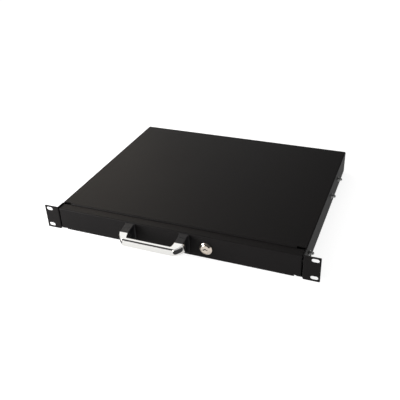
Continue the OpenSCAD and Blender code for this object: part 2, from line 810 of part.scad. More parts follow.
housing();
outer_rail(-1);  // outer_rail_left
outer_rail(1);  // outer_rail_right
rail_screws(-1);  // rail_screws_left
rail_screws(1);  // rail_screws_right
rail_washers();
rail_nuts();
rail_bumpers();
ball_cage(-1, outer_cage_u, outer_row_u, outer_row_v);  // outer_ball_cage_left
ball_cage(1, outer_cage_u, outer_row_u, outer_row_v);  // outer_ball_cage_right
balls(-1, outer_row_u, outer_row_v);  // outer_balls_left
balls(1, outer_row_u, outer_row_v);  // outer_balls_right
middle_rail(-1);  // middle_rail_left
middle_rail(1);  // middle_rail_right
ball_cage(-1, inner_cage_u, inner_row_u, inner_row_v);  // inner_ball_cage_left
ball_cage(1, inner_cage_u, inner_row_u, inner_row_v);  // inner_ball_cage_right
balls(-1, inner_row_u, inner_row_v);  // inner_balls_left
balls(1, inner_row_u, inner_row_v);  // inner_balls_right
drawer_front();
drawer_tray();
inner_rail(-1);  // inner_rail_left
inner_rail(1);  // inner_rail_right
inner_rail_screws();
handle_grip();
handle_foot(-1);  // handle_foot_left
handle_foot(1);  // handle_foot_right
handle_plugs();
handle_screws();
lock_body();
lock_washer();
lock_nut();
lock_plug();
lock_cam();
cam_washer();
cam_screw();
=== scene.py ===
"""Finishes, edges and fasteners of a lockable one-unit rack drawer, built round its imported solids."""

import json
import math

import bmesh
import bpy
from mathutils import Matrix, Vector


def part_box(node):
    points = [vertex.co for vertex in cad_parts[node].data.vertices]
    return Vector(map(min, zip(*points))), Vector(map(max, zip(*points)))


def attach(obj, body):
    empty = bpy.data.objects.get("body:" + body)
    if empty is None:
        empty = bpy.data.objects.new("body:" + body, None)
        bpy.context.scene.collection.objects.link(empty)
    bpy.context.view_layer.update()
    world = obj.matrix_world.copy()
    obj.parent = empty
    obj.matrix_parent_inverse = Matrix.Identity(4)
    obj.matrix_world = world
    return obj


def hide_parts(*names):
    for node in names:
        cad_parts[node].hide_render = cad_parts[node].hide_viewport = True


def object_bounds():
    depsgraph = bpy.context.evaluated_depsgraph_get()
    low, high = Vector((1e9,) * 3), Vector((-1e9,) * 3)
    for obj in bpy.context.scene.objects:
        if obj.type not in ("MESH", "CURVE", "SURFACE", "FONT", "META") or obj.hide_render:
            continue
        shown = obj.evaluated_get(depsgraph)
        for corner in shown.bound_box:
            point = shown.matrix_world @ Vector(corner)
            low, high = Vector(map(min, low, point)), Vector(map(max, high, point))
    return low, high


bl_info = {
    "name": "Rack Drawer",
    "version": (1, 0, 0),
    "blender": (4, 5, 0),
    "location": "View3D > Sidebar > Rack Drawer",
    "description": "Dresses a lockable rack drawer with soft edges, threads and real finishes",
    "category": "Add Mesh",
}

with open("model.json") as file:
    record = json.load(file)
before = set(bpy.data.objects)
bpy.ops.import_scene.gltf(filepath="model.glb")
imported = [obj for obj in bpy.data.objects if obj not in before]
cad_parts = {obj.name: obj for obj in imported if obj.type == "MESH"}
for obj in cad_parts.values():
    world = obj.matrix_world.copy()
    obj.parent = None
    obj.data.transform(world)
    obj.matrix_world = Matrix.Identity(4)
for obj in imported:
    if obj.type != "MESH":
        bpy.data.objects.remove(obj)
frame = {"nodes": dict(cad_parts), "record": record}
CAD_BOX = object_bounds()
MM = 0.001

# Edges that turn by more than SHARP are rounded, and edges over CREASE stay crisp in the shading. Points
# nearer than MERGE are joined, and so are faces within FLAT of one plane.
SHARP = math.radians(32)
CREASE = math.radians(50)
FLAT = math.radians(0.5)
MERGE = 0.002 * MM
SOFT_STEPS = 2

# The grip: the share of its width that the fingers take, the steps of its roundings, and how level and how
# large a face of it has to be to count as broad.
FINGER_SHARE = 0.78
FINGER_STEPS = 4
BROW_STEPS = 9
LEVEL_SHARE = 0.9
BROAD_FACE = 100 * MM * MM

# Threads: radius of a screw's shank, rise of a turn on a screw and on the lock's barrel, cuts in each turn,
# and depth as a share of the rise.
SHANK = 2 * MM
PITCH = 0.7 * MM
BARREL_PITCH = 1 * MM
THREAD_CUTS = 4
THREAD_DEPTH_SHARE = 0.55

# The lock's barrel: the share of its radius past which a face counts as outside, and the share past which
# a point counts as round, which its normal's outward part has to pass too.
OUTSIDE_SHARE = 0.8
ROUND_SHARE = 0.98

# Screws: heights of the two heads, length of a wall screw, cells across a head, and shares of a head's
# radius or height. A shoulder share is a pair, of the radius and then of the height.
PAN_HEAD = 2.4 * MM
SUNK_HEAD = 2 * MM
WALL_SCREW = 9 * MM
HEAD_CELLS = 12
ARM_HALF_SHARE = 1 / 6
ARM_REACH_SHARE = 0.5
FACE_SHARE = 0.86
CROWN_SHARE = 0.22
RECESS_DEPTH_SHARE = 0.75
RECESS_TAPER_SHARE = 0.6
SHOULDER_SHARES = ((0.97, 0.6), (1.0, 0.4), (1.0, 0.0))

# Cap nuts: radii of dome and end cone as shares of the width across flats, the neck's height as a share of
# the hexagon's, and the dome's foot as a share of its radius.
DOME_SHARE = 0.455
CONE_SHARE = 0.475
NECK_SHARE = 1.32
FOOT_SHARE = 1.02
DOME_STEPS = 8
CONE_STEPS = 4
HEXAGON_STEPS = 72

# Washers: the rounded edge as a share of the thickness, and the bore's room round the shank.
WASHER_EDGE_SHARE = 0.3
WASHER_ROOM = 0.25 * MM

# The floor's reach, and how brightly its paper shows to the eye and in metal.
FLOOR_REACH = 6000 * MM
PAPER_SEEN = 0.8
PAPER_MIRRORED = 0.42

# The white sweep that metal shows: its direction, the cosines of the angles from there at which it starts
# and is full, and how bright the studio round it is. SOFT_WORLD is what matt surfaces get from all round.
SWEEP_WAY = Vector((-0.5, 0.86, 0.1)).normalized()
SWEEP_START = 0.86
SWEEP_FULL = 0.97
DARK_STUDIO = 0.05
SOFT_WORLD = 0.45

# The camera: the width of its film, which Blender takes in millimetres, and the nearest that it sees.
FILM_WIDTH = 36.0
NEAREST = 10 * MM

# Each lamp's name, place and aim in millimetres, width in millimetres, watts and colour.
LAMPS = (
    ("back_softbox", (-1300, 1300, 900), (0, 150, 0), 1000, 5.2, "#fff0dd"),
    ("grip_softbox", (-716, 723, 1372), (-26, -30, 13), 560, 0.95, "#ffffff"),
    ("front_softbox", (-1100, -700, 350), (-150, 0, 0), 700, 29, "#ffffff"),
    ("side_softbox", (-1600, 0, 500), (0, 100, 0), 900, 4, "#ffffff"),
    ("top_softbox", (0, -900, 1500), (0, 100, 0), 900, 1.4, "#ffffff"),
)


def linear(hex_colour):
    """A colour written as sRGB hex, as Blender's linear red, green, blue and alpha."""
    shares = [int(hex_colour[i:i + 2], 16) / 255 for i in (1, 3, 5)]
    return [s / 12.92 if s <= 0.04045 else ((s + 0.055) / 1.055) ** 2.4 for s in shares] + [1.0]


def colour_choice(name, description, hex_colour):
    """A colour that a user can change, with its default written as sRGB hex."""
    return bpy.props.FloatVectorProperty(name=name, description=description, default=linear(hex_colour),
                                         size=4, min=0.0, max=1.0, subtype="COLOR")


class FinishSettings(bpy.types.PropertyGroup):
    """Colours of the finishes."""
    coat_dark: colour_choice("Coat, darker", "Darker tint of the powder coat on the sheet", "#161515")
    coat_light: colour_choice("Coat, lighter", "Lighter tint of the powder coat on the sheet", "#1a1818")
    plastic: colour_choice("Plastic", "Colour of the handle's feet and inlays", "#1a1a1c")
    rubber: colour_choice("Rubber", "Colour of the slides' bumpers", "#1b1b1c")
    chrome: colour_choice("Chrome", "Colour of the grip's plating", "#f5f4f1")
    nickel: colour_choice("Nickel", "Colour of the lock's plating", "#e8dccf")


def add_node(tree, kind, settings=None, inputs=None):
    """A new node with its settings. An input is a value or another node's output."""
    made = tree.nodes.new(kind)
    for name, value in (settings or {}).items():
        setattr(made, name, value)
    for name, value in (inputs or {}).items():
        if isinstance(value, bpy.types.NodeSocket):
            tree.links.new(value, made.inputs[name])
        else:
            made.inputs[name].default_value = value
    return made


def new_material(name, build):
    """The material of that name, made once. build fills its Principled shader."""
    found = bpy.data.materials.get(name)
    if found:
        return found
    made = bpy.data.materials.new(name)
    made.use_nodes = True
    tree = made.node_tree
    shader = tree.nodes["Principled BSDF"]
    where = add_node(tree, "ShaderNodeTexCoord").outputs["Object"]
    build(tree, shader, where)
    return made


def powder_coat():
    """Polyester powder on steel: matt black, with a fine cured grain that breaks up reflections."""
    def build(tree, shader, where):
        grain = add_node(tree, "ShaderNodeTexNoise", None,
                         {"Vector": where, "Scale": 1 / (1.1 * MM), "Detail": 2.0, "Roughness": 0.6})
        peel = add_node(tree, "ShaderNodeTexNoise", None,
                        {"Vector": where, "Scale": 1 / (7 * MM), "Detail": 1.0})
        cloud = add_node(tree, "ShaderNodeTexNoise", None,
                         {"Vector": where, "Scale": 1 / (90 * MM), "Detail": 3.0})
        tint = add_node(tree, "ShaderNodeMix", {"data_type": "RGBA"}, {"Factor": cloud.outputs["Fac"]})
        tint.inputs["A"].default_value = bpy.context.scene.rack_drawer_finish.coat_dark
        tint.inputs["B"].default_value = bpy.context.scene.rack_drawer_finish.coat_light
        sheen = add_node(tree, "ShaderNodeMapRange", None,
                         {"Value": cloud.outputs["Fac"], "To Min": 0.47, "To Max": 0.53})
        fine = add_node(tree, "ShaderNodeBump", None,
                        {"Height": grain.outputs["Fac"], "Strength": 0.35, "Distance": 0.08 * MM})
        bump = add_node(tree, "ShaderNodeBump", None,
                        {"Height": peel.outputs["Fac"], "Normal": fine.outputs["Normal"],
                         "Strength": 0.12, "Distance": 0.2 * MM})
        tree.links.new(tint.outputs["Result"], shader.inputs["Base Color"])
        tree.links.new(sheen.outputs["Result"], shader.inputs["Roughness"])
        tree.links.new(bump.outputs["Normal"], shader.inputs["Normal"])
        shader.inputs["Specular IOR Level"].default_value = 0.09
    return new_material("powder_coated_steel", build)


def zinc_plate():
    """Cold-rolled steel strip, zinc plated: pale grey, with faint lines along the rolling direction."""
    def build(tree, shader, where):
        along = add_node(tree, "ShaderNodeMapping", None, {"Vector": where, "Scale": (1.0, 0.02, 1.0)})
        lines = add_node(tree, "ShaderNodeTexNoise", None,
                         {"Vector": along.outputs["Vector"], "Scale": 1 / (0.5 * MM), "Detail": 3.0})
        patch = add_node(tree, "ShaderNodeTexNoise", None,
                         {"Vector": where, "Scale": 1 / (25 * MM), "Detail": 2.0})
        tint = add_node(tree, "ShaderNodeMix", {"data_type": "RGBA"}, {"Factor": patch.outputs["Fac"]})
        tint.inputs["A"].default_value = linear("#c3c6ca")
        tint.inputs["B"].default_value = linear("#d2d0c8")
        sheen = add_node(tree, "ShaderNodeMapRange", None,
                         {"Value": lines.outputs["Fac"], "To Min": 0.26, "To Max": 0.42})
        bump = add_node(tree, "ShaderNodeBump", None,
                        {"Height": lines.outputs["Fac"], "Strength": 0.15, "Distance": 0.05 * MM})
        tree.links.new(tint.outputs["Result"], shader.inputs["Base Color"])
        tree.links.new(sheen.outputs["Result"], shader.inputs["Roughness"])
        tree.links.new(bump.outputs["Normal"], shader.inputs["Normal"])
        shader.inputs["Metallic"].default_value = 1.0
    return new_material("zinc_plated_strip", build)


def bright_zinc():
    """Cold-headed steel fasteners, bright zinc plated: shiny, with a faint blue and straw cast."""
    def build(tree, shader, where):
        patch = add_node(tree, "ShaderNodeTexNoise", None,
                         {"Vector": where, "Scale": 1 / (2.5 * MM), "Detail": 3.0})
        tint = add_node(tree, "ShaderNodeMix", {"data_type": "RGBA"}, {"Factor": patch.outputs["Fac"]})
        tint.inputs["A"].default_value = linear("#ccd2d9")
        tint.inputs["B"].default_value = linear("#dedad0")
        sheen = add_node(tree, "ShaderNodeMapRange", None,
                         {"Value": patch.outputs["Fac"], "To Min": 0.2, "To Max": 0.34})
        tree.links.new(tint.outputs["Result"], shader.inputs["Base Color"])
        tree.links.new(sheen.outputs["Result"], shader.inputs["Roughness"])
        shader.inputs["Metallic"].default_value = 1.0
    return new_material("bright_zinc_plated_steel", build)


def cage_steel():
    """Stamped spring strip: darker than the rails, oiled, with fine scuffs."""
    def build(tree, shader, where):
        scuff = add_node(tree, "ShaderNodeTexNoise", None,
                         {"Vector": where, "Scale": 1 / (1.5 * MM), "Detail": 4.0})
        tint = add_node(tree, "ShaderNodeMix", {"data_type": "RGBA"}, {"Factor": scuff.outputs["Fac"]})
        tint.inputs["A"].default_value = linear("#9a9ca0")
        tint.inputs["B"].default_value = linear("#b4b3ae")
        sheen = add_node(tree, "ShaderNodeMapRange", None,
                         {"Value": scuff.outputs["Fac"], "To Min": 0.3, "To Max": 0.45})
        tree.links.new(tint.outputs["Result"], shader.inputs["Base Color"])
        tree.links.new(sheen.outputs["Result"], shader.inputs["Roughness"])
        shader.inputs["Metallic"].default_value = 1.0
    return new_material("stamped_cage_steel", build)


def bearing_steel():
    """Ground and polished bearing steel with a thin film of grease: near mirror, softened in patches."""
    def build(tree, shader, where):
        grease = add_node(tree, "ShaderNodeTexNoise", None,
                          {"Vector": where, "Scale": 1 / (1.8 * MM), "Detail": 1.0})
        sheen = add_node(tree, "ShaderNodeMapRange", None,
                         {"Value": grease.outputs["Fac"], "To Min": 0.05, "To Max": 0.16})
        tree.links.new(sheen.outputs["Result"], shader.inputs["Roughness"])
        shader.inputs["Base Color"].default_value = linear("#dcdde0")
        shader.inputs["Metallic"].default_value = 1.0
    return new_material("polished_bearing_steel", build)


def black_rubber():
    """Moulded rubber: soft black with a dull, slightly blotchy skin."""
    def build(tree, shader, where):
        skin = add_node(tree, "ShaderNodeTexNoise", None,
                        {"Vector": where, "Scale": 1 / (3 * MM), "Detail": 3.0})
        sheen = add_node(tree, "ShaderNodeMapRange", None,
                         {"Value": skin.outputs["Fac"], "To Min": 0.6, "To Max": 0.8})
        tree.links.new(sheen.outputs["Result"], shader.inputs["Roughness"])
        shader.inputs["Base Color"].default_value = bpy.context.scene.rack_drawer_finish.rubber
    return new_material("moulded_rubber", build)


def chrome_plate():
    """Chrome plate on a polished zinc casting: a mirror, with the faint waviness of hand polishing."""
    def build(tree, shader, where):
        wave = add_node(tree, "ShaderNodeTexNoise", None,
                        {"Vector": where, "Scale": 1 / (14 * MM), "Detail": 1.0})
        haze = add_node(tree, "ShaderNodeTexNoise", None,
                        {"Vector": where, "Scale": 1 / (5 * MM), "Detail": 3.0})
        sheen = add_node(tree, "ShaderNodeMapRange", None,
                         {"Value": haze.outputs["Fac"], "To Min": 0.05, "To Max": 0.1})
        bump = add_node(tree, "ShaderNodeBump", None,
                        {"Height": wave.outputs["Fac"], "Strength": 0.1, "Distance": 0.3 * MM})
        tree.links.new(sheen.outputs["Result"], shader.inputs["Roughness"])
        tree.links.new(bump.outputs["Normal"], shader.inputs["Normal"])
        shader.inputs["Base Color"].default_value = bpy.context.scene.rack_drawer_finish.chrome
        shader.inputs["Metallic"].default_value = 1.0
    return new_material("chrome_plated_casting", build)


def black_plastic():
    """Injection-moulded ABS with a spark-eroded texture: satin black, a little paler than the powder."""
    def build(tree, shader, where):
        spark = add_node(tree, "ShaderNodeTexNoise", None,
                         {"Vector": where, "Scale": 1 / (0.6 * MM), "Detail": 2.0})
        flow = add_node(tree, "ShaderNodeTexNoise", None,
                        {"Vector": where, "Scale": 1 / (9 * MM), "Detail": 2.0})
        sheen = add_node(tree, "ShaderNodeMapRange", None,
                         {"Value": flow.outputs["Fac"], "To Min": 0.4, "To Max": 0.5})
        bump = add_node(tree, "ShaderNodeBump", None,
                        {"Height": spark.outputs["Fac"], "Strength": 0.3, "Distance": 0.05 * MM})
        tree.links.new(sheen.outputs["Result"], shader.inputs["Roughness"])
        tree.links.new(bump.outputs["Normal"], shader.inputs["Normal"])
        shader.inputs["Base Color"].default_value = bpy.context.scene.rack_drawer_finish.plastic
    return new_material("moulded_abs", build)


def nickel_plate():
    """Nickel plate on a turned zinc casting: warm, with fine turning marks round the lock's axis."""
    def build(tree, shader, where):
        low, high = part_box("lock_body")
        centre = (low + high) / 2
        moved = add_node(tree, "ShaderNodeMapping", None,
                         {"Vector": where, "Location": (-centre.x, 0.0, -centre.z)})
        flat = add_node(tree, "ShaderNodeVectorMath", {"operation": "MULTIPLY"},
                        {0: moved.outputs["Vector"], 1: (1.0, 0.0, 1.0)})
        reach = add_node(tree, "ShaderNodeVectorMath", {"operation": "LENGTH"},
                         {0: flat.outputs["Vector"]})
        rings = add_node(tree, "ShaderNodeTexNoise", {"noise_dimensions": "1D"},
                         {"W": reach.outputs["Value"], "Scale": 1 / (0.35 * MM), "Detail": 2.0})
        sheen = add_node(tree, "ShaderNodeMapRange", None,
                         {"Value": rings.outputs["Fac"], "To Min": 0.12, "To Max": 0.26})
        bump = add_node(tree, "ShaderNodeBump", None,
                        {"Height": rings.outputs["Fac"], "Strength": 0.25, "Distance": 0.04 * MM})
        tree.links.new(sheen.outputs["Result"], shader.inputs["Roughness"])
        tree.links.new(bump.outputs["Normal"], shader.inputs["Normal"])
        shader.inputs["Base Color"].default_value = bpy.context.scene.rack_drawer_finish.nickel
        shader.inputs["Metallic"].default_value = 1.0
    return new_material("nickel_plated_casting", build)


FINISHES = {
    "powder_coat": powder_coat,
    "zinc_plate": zinc_plate,
    "bright_zinc": bright_zinc,
    "cage_steel": cage_steel,
    "bearing_steel": bearing_steel,
    "black_rubber": black_rubber,
    "chrome_plate": chrome_plate,
    "black_plastic": black_plastic,
    "nickel_plate": nickel_plate,
}
BODY_OF = {member: body for body, members in frame["record"]["behaviour"]["bodies"].items()
           for member in members}
SLOT_OF = {name: shape.data.materials[0].name for name, shape in frame["nodes"].items()}


def finish_node(name):
    """Gives a CAD node that stays in view its real finish."""
    materials = frame["nodes"][name].data.materials
    finish = FINISHES[SLOT_OF[name]]()
    for i in range(len(materials)):
        materials[i] = finish


def new_piece(name, bm, stands_for):
    """Makes a shown piece of a bmesh. It stands for CAD nodes of one body and slot, and rides with them."""
    mesh = bpy.data.meshes.new(name)
    bm.to_mesh(mesh)
    bm.free()
    for attribute in [a for a in mesh.attributes if a.name == "custom_normal"]:
        mesh.attributes.remove(attribute)
    mesh.shade_smooth()
    mesh.set_sharp_from_angle(angle=CREASE)
    mesh.materials.clear()
    mesh.materials.append(FINISHES[SLOT_OF[stands_for[0]]]())
    piece = bpy.data.objects.new(name, mesh)
    bpy.context.scene.collection.objects.link(piece)
    weighted = piece.modifiers.new("even shading", "WEIGHTED_NORMAL")
    weighted.keep_sharp = True
    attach(piece, BODY_OF[stands_for[0]])
    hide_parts(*stands_for)


def merged_copy(name):
    """A CAD node's shape as a bmesh, with its loose triangles joined and its flat faces whole."""
    bm = bmesh.new()
    bm.from_mesh(frame["nodes"][name].data)
    bmesh.ops.remove_doubles(bm, verts=bm.verts, dist=MERGE)
    bmesh.ops.dissolve_limit(bm, angle_limit=FLAT, use_dissolve_boundaries=False,
                             verts=bm.verts, edges=bm.edges)
    return bm


def round_off(bm, edges, width, segments):
    """Rounds the given edges of a bmesh."""
    bmesh.ops.bevel(bm, geom=edges, offset=width, offset_type="OFFSET", affect="EDGES",
                    segments=segments, profile=0.5, material=-1, clamp_overlap=False)


def soft_edges(bm, width, room=0.0):
    """Rounds the sharp edges of a bmesh, apart from those that end beside an edge shorter than room."""
    sharp = [e for e in bm.edges if len(e.link_faces) == 2 and e.calc_face_angle() > SHARP
             and all(beside.calc_length() > room for v in e.verts for beside in v.link_edges)]
    round_off(bm, sharp, width, SOFT_STEPS)


def softened(name, width, suffix, room=0.0):
    """Makes a piece that stands for a CAD node and has its shape, with the sharp edges rounded."""
    bm = merged_copy(name)
    soft_edges(bm, width, room)
    new_piece(f"{name}_{suffix}", bm, [name])


def solid_boxes(name):
    """The lowest and highest corners of each separate solid of a CAD node."""
    bm = merged_copy(name)
    waiting = set(bm.verts)
    boxes = []
    while waiting:
        solid = grow = {waiting.pop()}
        while grow:
            grow = {e.other_vert(v) for v in grow for e in v.link_edges} - solid
            solid = solid | grow
        waiting -= solid
        spans = [sorted(v.co[axis] for v in solid) for axis in range(3)]
        boxes.append((Vector([s[0] for s in spans]), Vector([s[-1] for s in spans])))
    bm.free()
    return sorted(boxes, key=lambda box: tuple(box[0]))


def standing(place, way):
    """The matrix that sets a fastener, made along Z, at a place with its head end pointing a way."""
    return Matrix.Translation(place) @ Vector(way).to_track_quat("Z", "Y").to_matrix().to_4x4()


def set_out(item, places):
    """One bmesh with a copy of a fastener's bmesh at each place."""
    pattern = bpy.data.meshes.new("fastener")
    item.to_mesh(pattern)
    item.free()
    bm = bmesh.new()
    for place in places:
        kept = set(bm.verts)
        bm.from_mesh(pattern)
        bmesh.ops.transform(bm, matrix=place, verts=[v for v in bm.verts if v not in kept])
    bpy.data.meshes.remove(pattern)
    return bm


def turned(outline, closed=False, steps=48):
    """A bmesh turned about Z from an outline of radii and heights. A closed outline has a bore."""
    bm = bmesh.new()
    points = [bm.verts.new((radius, 0.0, height)) for radius, height in outline]
    ways = [bm.edges.new(pair) for pair in zip(points, points[1:] + points[:1])]
    if not closed:
        bm.edges.remove(ways.pop())
    bmesh.ops.spin(bm, geom=points + ways, cent=(0, 0, 0), axis=(0, 0, 1), angle=math.tau,
                   steps=steps, use_merge=True)
    bmesh.ops.remove_doubles(bm, verts=bm.verts, dist=MERGE)
    bmesh.ops.recalc_face_normals(bm, faces=bm.faces)
    return bm


def mill_hexagon(bm, across, height):
    """Cuts six flats on a turned blank, up to a height."""
    for v in bm.verts:
        if v.co.z < height + MERGE:
            turn = (math.atan2(v.co.y, v.co.x) + math.pi / 6) % (math.pi / 3) - math.pi / 6
            flat = across / 2 / math.cos(turn)
            if v.co.xy.length > flat:
                v.co.xy *= flat / v.co.xy.length


def blank_side(across, height):
    """The side of a nut's turned blank: a cone at each end cuts the corners back."""
    corner, cone = across / 2 / math.cos(math.pi / 6), across * CONE_SHARE
    drop = (corner - cone) * math.tan(math.pi / 6)
    shares = [k / CONE_STEPS for k in range(CONE_STEPS + 1)]
    rise = [(cone + (corner - cone) * share, drop * share) for share in shares]
    return rise + [(radius, height - z) for radius, z in reversed(rise)]


def cap_nut(across, height):
    """A closed hexagon nut with a turned dome."""
    dome, neck = across * DOME_SHARE, height * NECK_SHARE
    turns = [math.pi / 2 * k / DOME_STEPS for k in range(DOME_STEPS + 1)]
    arc = [(dome * math.cos(turn), neck + dome * math.sin(turn)) for turn in turns]
    foot = (dome * FOOT_SHARE, height)
    bm = turned([(0.0, 0.0), *blank_side(across, height), foot, *arc], steps=HEXAGON_STEPS)
    mill_hexagon(bm, across, height)
    return bm


def ring(outer, bore, thick):
    """A flat washer with its stamped edges rounded."""
    edge = thick * WASHER_EDGE_SHARE
    below = [(bore, edge), (bore + edge, 0.0), (outer - edge, 0.0), (outer, edge)]
    above = [(radius, thick - height) for radius, height in reversed(below)]
    return turned(below + above, closed=True)


def thread_radius(point, crest, pitch):
    """Radius of a screw thread's surface at a point, as its ridge winds up the shank."""
    share = (point.z / pitch + math.atan2(point.y, point.x) / math.tau) % 1.0
    return crest - pitch * THREAD_DEPTH_SHARE * abs(2 * share - 1)


def cross_screw(head, head_h, shank, length, pitch, sunk=False):
    """A screw whose head stands on Z = 0 and whose shank runs down. A sunk head tapers into its seat."""
    bm = bmesh.new()
    bmesh.ops.create_grid(bm, x_segments=HEAD_CELLS, y_segments=HEAD_CELLS, size=1.0)
    arms = []
    for f in bm.faces:
        near, far = sorted(abs(c) for c in f.calc_center_median().xy)
        if near < ARM_HALF_SHARE and far < ARM_REACH_SHARE:
            arms.append(f)
    top, face = (0.0, head) if sunk else (head_h, head * FACE_SHARE)
    crown = 0.0 if sunk else head_h * CROWN_SHARE
    # The square grid becomes the round face of the head.
    for v in bm.verts:
        u, w = v.co.xy
        v.co.xy = (u * math.sqrt(1 - w * w / 2) * face, w * math.sqrt(1 - u * u / 2) * face)
        v.co.z = top - crown * v.co.xy.length_squared / face ** 2
    rim = [e for e in bm.edges if e.is_boundary]
    pushed = bmesh.ops.extrude_face_region(bm, geom=arms)["geom"]
    bmesh.ops.delete(bm, geom=arms, context="FACES")
    for v in (v for v in pushed if isinstance(v, bmesh.types.BMVert)):
        v.co.xy *= RECESS_TAPER_SHARE
        v.co.z = top - head_h * RECESS_DEPTH_SHARE
    if sunk:
        rings = [(shank, shank - head)]
    else:
        rings = [(head * wide, head_h * high) for wide, high in SHOULDER_SHARES] + [(shank, 0.0)]
    # A ring that has no radius of its own follows the thread.
    slices = int(THREAD_CUTS * length / pitch)
    base = rings[-1][1]
    rings += [(None, base + (-length - base) * k / slices) for k in range(1, slices + 1)]
    for radius, height in rings:
        made = bmesh.ops.extrude_edge_only(bm, edges=rim)["geom"]
        rim = [e for e in made if isinstance(e, bmesh.types.BMEdge) and e.is_boundary]
        for v in {v for e in rim for v in e.verts}:
            v.co.z = height
            v.co.xy = v.co.xy.normalized() * (radius or thread_radius(v.co, shank, pitch))
    bmesh.ops.contextual_create(bm, geom=rim)
    bmesh.ops.recalc_face_normals(bm, faces=bm.faces)
    return bm


class RackDrawerSettings(bpy.types.PropertyGroup):
    """Sizes of the finishing."""
    sheet_edge: bpy.props.FloatProperty(
        name="Sheet edge", description="Width of the softened edge of the coated sheet",
        default=0.25 * MM, unit="LENGTH")
    bumper_edge: bpy.props.FloatProperty(
        name="Bumper edge", description="Width of the softened edge of the rubber bumpers",
        default=0.5 * MM, unit="LENGTH")
    grip_edge: bpy.props.FloatProperty(
        name="Grip edge", description="Width of the chrome grip's rounded edges round the fingers",
        default=0.7 * MM, unit="LENGTH")
    foot_edge: bpy.props.FloatProperty(
        name="Foot edge", description="Width of the softened edge of the handle's black feet",
        default=0.3 * MM, unit="LENGTH")
    brow: bpy.props.FloatProperty(
        name="Brow", description="Radius of the upper front edge of the chrome grip",
        default=3.0 * MM, unit="LENGTH")
    rail_edge: bpy.props.FloatProperty(
        name="Rail edge", description="Width of the softened edge of the rails, the lock and the inlays",
        default=0.15 * MM, unit="LENGTH")


class RACKDRAWER_OT_housing(bpy.types.Operator):
    """Coats the folded housing"""
    bl_idname = "rack_drawer.housing"
    bl_label = "Housing"

    def execute(self, context):
        settings = context.scene.rack_drawer
        softened("housing", settings.sheet_edge, "coated", room=3 * settings.sheet_edge)
        return {"FINISHED"}


class RACKDRAWER_OT_drawer(bpy.types.Operator):
    """Coats the drawer's front and its tray"""
    bl_idname = "rack_drawer.drawer"
    bl_label = "Drawer"

    def execute(self, context):
        settings = context.scene.rack_drawer
        softened("drawer_front", settings.sheet_edge, "coated", room=settings.sheet_edge)
        softened("drawer_tray", settings.sheet_edge, "coated", room=3 * settings.sheet_edge)
        return {"FINISHED"}


class RACKDRAWER_OT_slides(bpy.types.Operator):
    """Finishes the rails, cages, balls and bumpers of the two slides"""
    bl_idname = "rack_drawer.slides"
    bl_label = "Slides"

    def execute(self, context):
        settings = context.scene.rack_drawer
        for side in ("left", "right"):
            for rail in ("outer_rail", "middle_rail", "inner_rail"):
                softened(f"{rail}_{side}", settings.rail_edge, "plated")
            for row in ("outer", "inner"):
                finish_node(f"{row}_ball_cage_{side}")
                finish_node(f"{row}_balls_{side}")
        softened("rail_bumpers", settings.bumper_edge, "moulded")
        return {"FINISHED"}


class RACKDRAWER_OT_handle(bpy.types.Operator):
    """Polishes the grip and finishes its feet and inlays"""
    bl_idname = "rack_drawer.handle"
    bl_label = "Handle"

    def execute(self, context):
        settings = context.scene.rack_drawer
        self.polish_grip(settings)
        softened("handle_foot_left", settings.foot_edge, "moulded")
        softened("handle_foot_right", settings.foot_edge, "moulded")
        softened("handle_plugs", settings.rail_edge, "moulded")
        return {"FINISHED"}

    def polish_grip(self, settings):
        """Rounds the grip's brow most, then the edges round the fingers, and its rims least."""
        bm = merged_copy("handle_grip")
        bmesh.ops.remove_doubles(bm, verts=bm.verts, dist=settings.rail_edge)
        bm.normal_update()
        top = max((f for f in bm.faces if f.normal.z > LEVEL_SHARE), key=lambda f: f.calc_area())
        self.round_front(bm, top.normal.copy(), top.calc_center_median(), settings.brow)
        bm.normal_update()
        low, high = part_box("handle_grip")
        middle, reach = (low.x + high.x) / 2, (high.x - low.x) * FINGER_SHARE / 2
        broad = {f for f in bm.faces if abs(f.normal.z) > LEVEL_SHARE and f.calc_area() > BROAD_FACE}
        fingers = [e for e in bm.edges if broad.intersection(e.link_faces) and e.calc_face_angle() > SHARP
                   and all(abs(v.co.x - middle) < reach for v in e.verts)]
        round_off(bm, fingers, settings.grip_edge, FINGER_STEPS)
        soft_edges(bm, settings.rail_edge, room=settings.rail_edge)
        new_piece("handle_grip_polished", bm, ["handle_grip"])

    def round_front(self, bm, up, on_top, radius):
        """Planes the bar's upper front edge off to an arc that meets its sloping top and its front."""
        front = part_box("handle_grip")[0].y
        centre = Vector((0.0, front + radius, 0.0))
        centre.z = on_top.z - (radius + up.y * (centre.y - on_top.y)) / up.z
        slope = math.atan2(-up.y, up.z)
        for k in range(BROW_STEPS):
            turn = slope + (math.pi / 2 - slope) * (k + 0.5) / BROW_STEPS
            out = Vector((0.0, -math.sin(turn), math.cos(turn)))
            cut = bmesh.ops.bisect_plane(bm, geom=bm.verts[:] + bm.edges[:] + bm.faces[:], plane_no=out,
                                         plane_co=centre + out * radius, clear_outer=True)["geom_cut"]
            bmesh.ops.contextual_create(bm, geom=[e for e in cut if isinstance(e, bmesh.types.BMEdge)])


